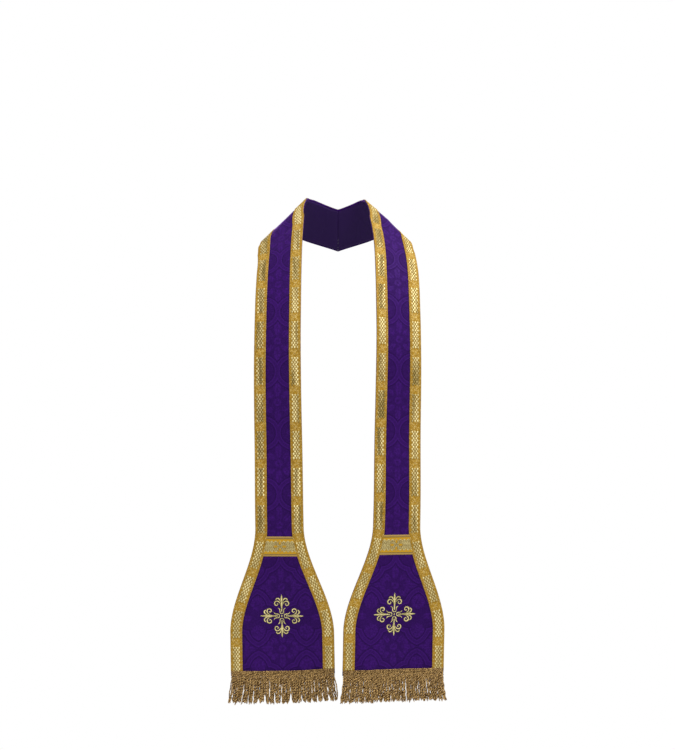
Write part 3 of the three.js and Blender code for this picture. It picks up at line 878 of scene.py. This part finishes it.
def make_damask(half, material):
    """One half's damask, over its top and back along its underside."""
    alongs = np.linspace(0, half.length, DAMASK_ROWS)[:, None]
    width, border = half.width(alongs), half.border(alongs)
    beside, sunk = np.array(CREASE).T * MM
    outside = border + (width - CLOTH_EDGE - border) * np.linspace(1, 0, EDGE_COLUMNS)
    crease = border - beside
    field = np.linspace(-1, 1, FIELD_COLUMNS) * (border - CREASE_WIDE)
    top = np.concatenate([-outside, -crease, field, crease[:, ::-1], outside[:, ::-1]], axis=1)
    level = np.zeros(EDGE_COLUMNS)
    sunk = np.concatenate([level, -sunk, np.zeros(FIELD_COLUMNS), -sunk[::-1], level])

    # The edge rounds over and turns under: insets from the cut's edge and heights, in millimetres.
    depth, turned_width = TURNED_DEPTH / MM, TURNED_WIDTH / MM
    rounding = (
        (0.15, -0.2), (0, -0.8), (0.05, -1.6), (0.3, -2.3), (0.9, -depth),
        (turned_width - 0.8, -depth), (turned_width, -CLOTH_THICK / MM),
    )
    inset, drop = np.array(rounding).T * MM
    edge = width - inset
    under = np.linspace(1, -1, UNDER_COLUMNS) * (width - TURNED_WIDTH - 1 * MM)
    across = np.concatenate([top, edge, under, -edge[:, ::-1]], axis=1)
    heights = np.concatenate([sunk, drop, np.full(UNDER_COLUMNS, -CLOTH_THICK), drop[::-1]])
    points, faces, flat, caps = ring_cloth(half, alongs, across, heights[None])
    new_piece(f"damask_{half.name}", points, faces, flat, material, "damask", [f"face_{half.name}"], caps)


class DamaskOperator(bpy.types.Operator):
    """Makes the two damask halves with their edges turned under"""

    bl_idname = "stole.damask"
    bl_label = "Damask"

    def execute(self, context):
        return for_halves(make_damask, damask_finish())


def make_lining(half, material):
    """One half's lining."""
    alongs = np.linspace(0, half.length - LINING_INSET, LINING_ROWS)[:, None]
    reach = half.width(alongs) - LINING_INSET
    share = np.linspace(-1, 1, LINING_COLUMNS)
    over_edge = smoothstep(reach * np.abs(share), reach - TURNED_WIDTH, reach - LINING_RISEN)
    top = LINING_TOP - over_edge * (TURNED_DEPTH + LINING_TOP + LINING_GAP)
    across = np.concatenate([reach * share, reach * share[::-1]], axis=1)
    lift = np.concatenate([top, top[:, ::-1] - LINING_THICK * (1 - LINING_THINNING * over_edge)], axis=1)
    points, faces, flat, caps = ring_cloth(half, alongs, across, lift)
    name = f"lining_cloth_{half.name}"
    piece = new_piece(name, points, faces, flat, material, "lining", [f"lining_{half.name}"], caps)
    half.area(LINING_INSET)


class LiningOperator(bpy.types.Operator):
    """Makes the two satin linings, set in from the turned edges"""

    bl_idname = "stole.lining"
    bl_label = "Lining"

    def execute(self, context):
        return for_halves(make_lining, lining_finish())


def lozenges(across, along):
    """How far each spot of the galloon stands in the pillow of its lozenge, from 0 to 1."""
    off_s, off_t, _, _, column, row = lattice(across, along, 1, np.round)
    within = (np.abs(column) < LATTICE_REACH) & (np.abs(row) < BLOCK_LENGTH / 2 - 1 * MM)
    pillow = (1 - 4 * off_s**2) * (1 - 4 * off_t**2)
    return np.where(within, pillow, 0)


def make_galloons(half, material):
    """The inner and outer galloon of one half."""
    edge_at, edge_lift = np.array(GALLOON_EDGE).T
    galloon_width = half.sizes.galloon_width
    wide = galloon_width / MM
    alongs = np.linspace(0, half.heading_top + 1 * MM, GALLOON_ROWS)[:, None]
    lean = np.hypot(1, half.flare(alongs))
    from_edge = np.array([*edge_at[:3], *np.linspace(1, wide - 1, 20), *(wide - edge_at[2::-1])])
    rounded = np.interp(np.minimum(from_edge, wide - from_edge), edge_at, edge_lift)
    across_galloon = (from_edge[None] / wide - 0.5) * galloon_width
    for edge, which in ((-1, "inner"), (1, "outer")):
        middle = edge * (half.width(alongs) - galloon_width / 2 * lean)
        across = middle + edge * across_galloon * lean

        # The weave follows the galloon's own middle line, also where the cloth bends.
        line = half.lay(alongs, middle, GALLOON_LIFT)
        run = run_of(line[:, 0])[:, None]
        run += EASED * np.clip(alongs - (half.length - half.sizes.bell_start), 0, None)
        way = unit(np.gradient(line, axis=0))
        flat_galloon = half.lay(alongs, across, GALLOON_LIFT)
        block_start = half.length - half.facts[f"{which}_block"] * MM
        start = np.interp(block_start, alongs[:, 0], run[:, 0])
        along_galloon = run - start + ((flat_galloon - line) * way).sum(-1)
        ridge = np.exp(-(((np.abs(across_galloon) - RIDGE_AT) / RIDGE_WIDE) ** 2)) * RIDGE_SHARE
        relief = (lozenges(across_galloon, along_galloon) + ridge) * GALLOON_RELIEF
        lift = rounded * GALLOON_LIFT + relief * (rounded > 0.9) + GALLOON_GAP
        points = half.lay(alongs, across, lift)
        faces = quads(len(alongs), len(from_edge), flip=half.side * edge < 0)
        flat = np.stack(np.broadcast_arrays(across_galloon, along_galloon), -1)
        name = f"{which}_galloon_{half.name}"
        new_piece(name, points, faces, flat, material, "galloon", [f"galloon_{which}_{half.name}"])


class GalloonOperator(bpy.types.Operator):
    """Makes the galloons along all four edges, with their woven lozenges raised"""

    bl_idname = "stole.galloon"
    bl_label = "Galloons"

    def execute(self, context):
        return for_halves(make_galloons, galloon_finish())


def make_band(half, material):
    """The band across one half, its ends under the galloons."""
    s = half.sizes
    tall = s.band_height / MM
    inset = [0, 0.05, 0.5, *np.linspace(1.2, tall - 1.2, BAND_ROWS), tall - 0.5, tall - 0.05, tall]
    inset = np.array(inset)[:, None] * MM
    alongs = half.length - s.band_top + inset
    share = np.linspace(-1, 1, BAND_COLUMNS)
    across = share * (half.border(alongs) + BAND_OVERLAP)
    down = inset - s.band_height / 2
    scallop = np.abs(np.cos(across * math.pi / SCALLOP_REPEAT)) * SCALLOP_DEPTH + SCALLOP_START
    middle = smoothstep(scallop - np.abs(down), -SCALLOP_SOFT, SCALLOP_SOFT)
    bend = np.sin(down / MM * CHAIN_BEND) * CHAIN_SWAY * MM
    waves = np.sin((across + bend) * 2 * math.pi / (CHAIN_PITCH * MM))
    cord = np.exp(-(((np.abs(down) - BAND_CORD_AT) / BAND_CORD_WIDE) ** 2))
    edge = np.sqrt(np.clip(np.minimum(inset, s.band_height - inset) / BAND_ROUNDING, 0, 1))
    raised = middle * (MIDDLE_RISE + CHAIN_RISE * waves) + cord * BAND_CORD_RISE
    lift = edge * (BAND_LIFT + raised) + BAND_GAP
    points = half.lay(alongs, across, lift)
    faces = quads(len(alongs), share.size, flip=half.side < 0)
    flat = np.stack(np.broadcast_arrays(across, down), -1)
    new_piece(f"gold_band_{half.name}", points, faces, flat, material, "band", [f"band_{half.name}"])


class BandOperator(bpy.types.Operator):
    """Makes the bands across the tops of the bells"""

    bl_idname = "stole.band"
    bl_label = "Bands"

    def execute(self, context):
        return for_halves(make_band, band_finish())


def stroke_threads(stroke, size):
    """Satin stitches over one stroke of the cross: rows of starts, ends and rises, x and y in metres."""
    points = np.array(stroke["points"], float)
    widths = np.array(stroke["widths"], float)[:, None]
    distances = run_of(points)
    line = curve_through(distances, np.concatenate([points, widths], axis=1))
    reach = distances[-1]
    count = max(4, round(reach * size / 2 / THREAD_PITCH))
    at = np.linspace(0, reach, count)
    here = line(at)
    way = unit(line(at + 0.002)[:, :2] - line(at - 0.002)[:, :2])
    beside = np.stack([-way[:, 1], way[:, 0]], -1)
    width = np.clip(here[:, 2] * STROKE_FULLNESS, STROKE_LEAST, None)
    offset = (beside + way * THREAD_SLANT) * width[:, None] / 2
    rise = PADDING * np.sqrt(np.clip(width / PADDED_WIDTH, 0.2, 1.4))
    return (here[:, :2] - offset) * size / 2, (here[:, :2] + offset) * size / 2, rise


def make_cross(half, material):
    """The cross of one half, its arms one stroke after another."""
    size = half.sizes.cross_size
    middle = np.array([half.length - half.sizes.cross_height, 0])
    starts, ends, rises = [], [], []
    for quarter in range(4):
        c, s = math.cos(quarter * math.pi / 2), math.sin(quarter * math.pi / 2)
        for stroke in CROSS_STROKES:
            one = stroke_threads(stroke, size)
            for mirror in ((1, -1) if stroke["sides"] == "both" else (1,)):
                for found, ready in zip(one[:2], (starts, ends)):
                    x, y = found[:, 0] * mirror, found[:, 1]
                    ready.append(np.stack([-(x * s + y * c), x * c - y * s], -1) + middle)
                rises.append(one[2])
    heart = stroke_threads(CROSS_HEART, size)
    starts.append(heart[0][:, ::-1] + middle)
    ends.append(heart[1][:, ::-1] + middle)
    rises.append(heart[2])
    threads = (np.concatenate(each) for each in (starts, ends, rises))
    laid = satin_threads(half, *threads, CROSS_LIFT)
    new_piece(f"fleury_cross_{half.name}", *laid, material, "embroidery", [f"cross_{half.name}"])


class CrossOperator(bpy.types.Operator):
    """Embroiders the fleury crosses, thread by thread, in padded satin stitch"""

    bl_idname = "stole.cross"
    bl_label = "Crosses"

    def execute(self, context):
        return for_halves(make_cross, thread_finish())


def hanging_cords(half, luck):
    """The paths of one fringe's cords, from the heading's top to their tips, and how many of their points lie
    in the heading.
    """
    s = half.sizes
    count = s.cord_count
    number = np.arange(count)
    share = (number + 0.5) / count
    reach = s.bell_width / 2 - FRINGE_INSET
    across = -reach + 2 * reach * share
    row = number % 3 - 1.0

    # In the heading the cords lie side by side, pressed flat between the binding threads.
    down = np.arange(0, s.heading_height, HEADING_STEP)
    weave = np.cos(down / HEADING_WEAVE * math.pi + number[:, None] * math.pi)
    lift = HEADING_LIFT - row[:, None] * ROW_DEPTH + weave * WEAVE_DEPTH
    heading = half.lay(half.heading_top + down[None], across[:, None], lift)

    # Below it they hang, and cling together here and there.
    hang = s.fringe_length - s.heading_height + luck.normal(0, HANG_STRAY, count)
    t = np.linspace(0, 1, HANGING_STEPS)[1:]
    clumps = np.linspace(-reach, reach, CLUMPS) + luck.normal(0, CLUMP_STRAY, CLUMPS)
    nearest = clumps[np.abs(across[:, None] - clumps[None]).argmin(axis=1)]
    pull = (nearest - across) * luck.uniform(*half.facts["clinging"], count)
    splay = (share - 0.5) * s.fringe_splay
    sway = luck.normal(0, SWAY, count)
    turns = luck.uniform(*CRIMP_TURNS, (2, count, 1)) * t * 2 * math.pi + luck.uniform(0, 6, (2, count, 1))
    crimp = np.sin(turns) * luck.uniform(*CRIMP_DEPTH, (2, count, 1)) * MM * np.sqrt(t)
    aside = pull[:, None] * t**3 + splay[:, None] * t**1.4 + sway[:, None] * np.sin(t * math.pi)
    ahead = luck.normal(0, DEPTH_STRAY, count)[:, None] * t**2 + crimp[1]
    ahead += row[:, None] * ROW_SPREAD * smoothstep(t, 0, 0.12)
    fall = hang[:, None] * t
    hanging = heading[:, -1:] + np.stack([(aside + crimp[0]) * half.side, ahead, -fall], -1)
    return np.concatenate([heading, hanging], axis=1), len(down)


def twisted_cords(half, luck):
    """Points, faces and flat coordinates of one fringe's twisted cords. Each ends in a closed loop."""
    s = half.sizes
    paths, pressed_steps = hanging_cords(half, luck)
    count = len(paths)
    steps = np.arange(paths.shape[1])
    freed = smoothstep(steps, pressed_steps - FREED_STEPS, pressed_steps + FREED_STEPS)
    thick = PRESSED + (1 - PRESSED) * freed
    closing = np.clip((steps - (steps[-1] - TIP_STEPS)) / TIP_STEPS, 0, 1)
    loop = np.sqrt(1 - closing**2) * (1 + TIP_SWELL * np.sin(closing * math.pi))
    winding = np.broadcast_to(s.cord_radius * PLY_PLACE * thick * loop, paths.shape[:2])
    twist = luck.uniform(*TWIST, (count, 1)) * MM
    plies, run = two_ply(paths, winding, twist, luck.uniform(0, 2 * math.pi, count))
    radii = np.broadcast_to(s.cord_radius * PLY_RADIUS * thick * (1 - TIP_TAPER * closing), run.shape)
    return *tubes(plies, radii, CORD_FACES), numbered(np.arange(count), run)


def binding_threads(half):
    """Points, faces and flat coordinates of the twisted threads that bind one fringe's heading."""
    s = half.sizes
    reach = s.bell_width / 2 - FRINGE_INSET
    rows = np.array(BINDER_ROWS) * MM
    line = np.linspace(-reach - 0.8 * MM, reach + 0.8 * MM, BINDER_POINTS)
    over = np.cos((line + reach) / (2 * reach) * s.cord_count * math.pi + np.arange(3)[:, None] * math.pi)
    along = half.heading_top + rows[:, None] + 0 * line
    binders = half.lay(along, line[None], BINDER_LIFT + over * BINDER_WAVE)
    winding = np.full(binders.shape[:2], BINDER_PLY)
    strands, run = two_ply(binders, winding, BINDER_TWIST, np.arange(3) * 1.3)
    radii = np.full(run.shape, BINDER_RADIUS)
    return *tubes(strands, radii, CORD_FACES), numbered(np.full(3, BINDER_NUMBER), run)


def numbered(numbers, run):
    """Flat coordinates of twisted threads: each ply's number with the way round it, and its run."""
    plies = np.concatenate([numbers, numbers + SECOND_PLY])[:, None, None]
    round_ply = np.linspace(0, 2 / 3, CORD_FACES)
    return np.stack(np.broadcast_arrays(plies + round_ply, run[..., None]), -1)


def make_fringe(half, material):
    """The fringe of one half, with its heading's binding threads."""
    luck = np.random.default_rng(half.side + 11)
    cords, cord_faces, cord_flat = twisted_cords(half, luck)
    knots, knot_faces, knot_flat = binding_threads(half)
    points = np.concatenate([cords.reshape(-1, 3), knots.reshape(-1, 3)])
    faces = np.concatenate([cord_faces, knot_faces + cords.size // 3])
    flat = np.concatenate([cord_flat.reshape(-1, 2), knot_flat.reshape(-1, 2)])
    name = f"bullion_fringe_{half.name}"
    new_piece(name, points, faces, flat, material, "fringe", [f"fringe_{half.name}"])


class FringeOperator(bpy.types.Operator):
    """Twists the bullion fringes and weaves their headings"""

    bl_idname = "stole.fringe"
    bl_label = "Fringes"

    def execute(self, context):
        return for_halves(make_fringe, cord_finish())


def make_stitches(half, material):
    """The stitches along both galloons of one half."""
    alongs = np.arange(STITCH_START, half.heading_top - STITCH_END, STITCH_REPEAT)
    starts, ends = [], []
    for edge in (-1, 1):
        for inset in (STITCH_INSET, half.sizes.galloon_width - STITCH_INSET):
            for at, ready in ((alongs, starts), (alongs + STITCH_LENGTH, ends)):
                across = edge * (half.width(at) - inset * np.hypot(1, half.flare(at)))
                ready.append(np.stack([at, across], -1))
    starts, ends = np.concatenate(starts), np.concatenate(ends)
    laid = satin_threads(half, starts, ends, np.full(len(starts), STITCH_RISE), GALLOON_LIFT)
    new_piece(f"galloon_stitches_{half.name}", *laid, material, "galloon")


class StitchOperator(bpy.types.Operator):
    """Sews the galloons down along both their borders"""

    bl_idname = "stole.stitches"
    bl_label = "Stitches"

    def execute(self, context):
        return for_halves(make_stitches, sewing_finish())


class StolePanel(bpy.types.Panel):
    """Lists the sizes, the colours and the steps that make the stole"""

    bl_idname = "VIEW3D_PT_stole"
    bl_label = "Roman stole"
    bl_space_type = "VIEW_3D"
    bl_region_type = "UI"
    bl_category = "Stole"

    def draw(self, context):
        for group in (context.scene.stole_sizes, context.scene.stole_colours):
            box = self.layout.box()
            for name in group.__annotations__:
                box.prop(group, name)
        for step in STEPS:
            self.layout.operator(step.bl_idname)


STEPS = (
    StageOperator,
    DamaskOperator,
    LiningOperator,
    GalloonOperator,
    BandOperator,
    CrossOperator,
    FringeOperator,
    StitchOperator,
)
CLASSES = (StoleSizes, StoleColours, *STEPS, StolePanel)


def register():
    for one in CLASSES:
        bpy.utils.register_class(one)
    bpy.types.Scene.stole_sizes = PointerProperty(type=StoleSizes)
    bpy.types.Scene.stole_colours = PointerProperty(type=StoleColours)


def unregister():
    del bpy.types.Scene.stole_colours
    del bpy.types.Scene.stole_sizes
    for one in reversed(CLASSES):
        bpy.utils.unregister_class(one)


def declare_damask():
    """Works out the flat area of each damask half; the result is not kept."""
    for half in halves():
        half.area()


def main():
    register()
    bpy.ops.stole.stage()
    bpy.ops.stole.damask()
    bpy.ops.stole.lining()
    bpy.ops.stole.galloon()
    bpy.ops.stole.band()
    bpy.ops.stole.cross()
    bpy.ops.stole.fringe()
    bpy.ops.stole.stitches()
    declare_damask()


if __name__ == "__main__":
    main()
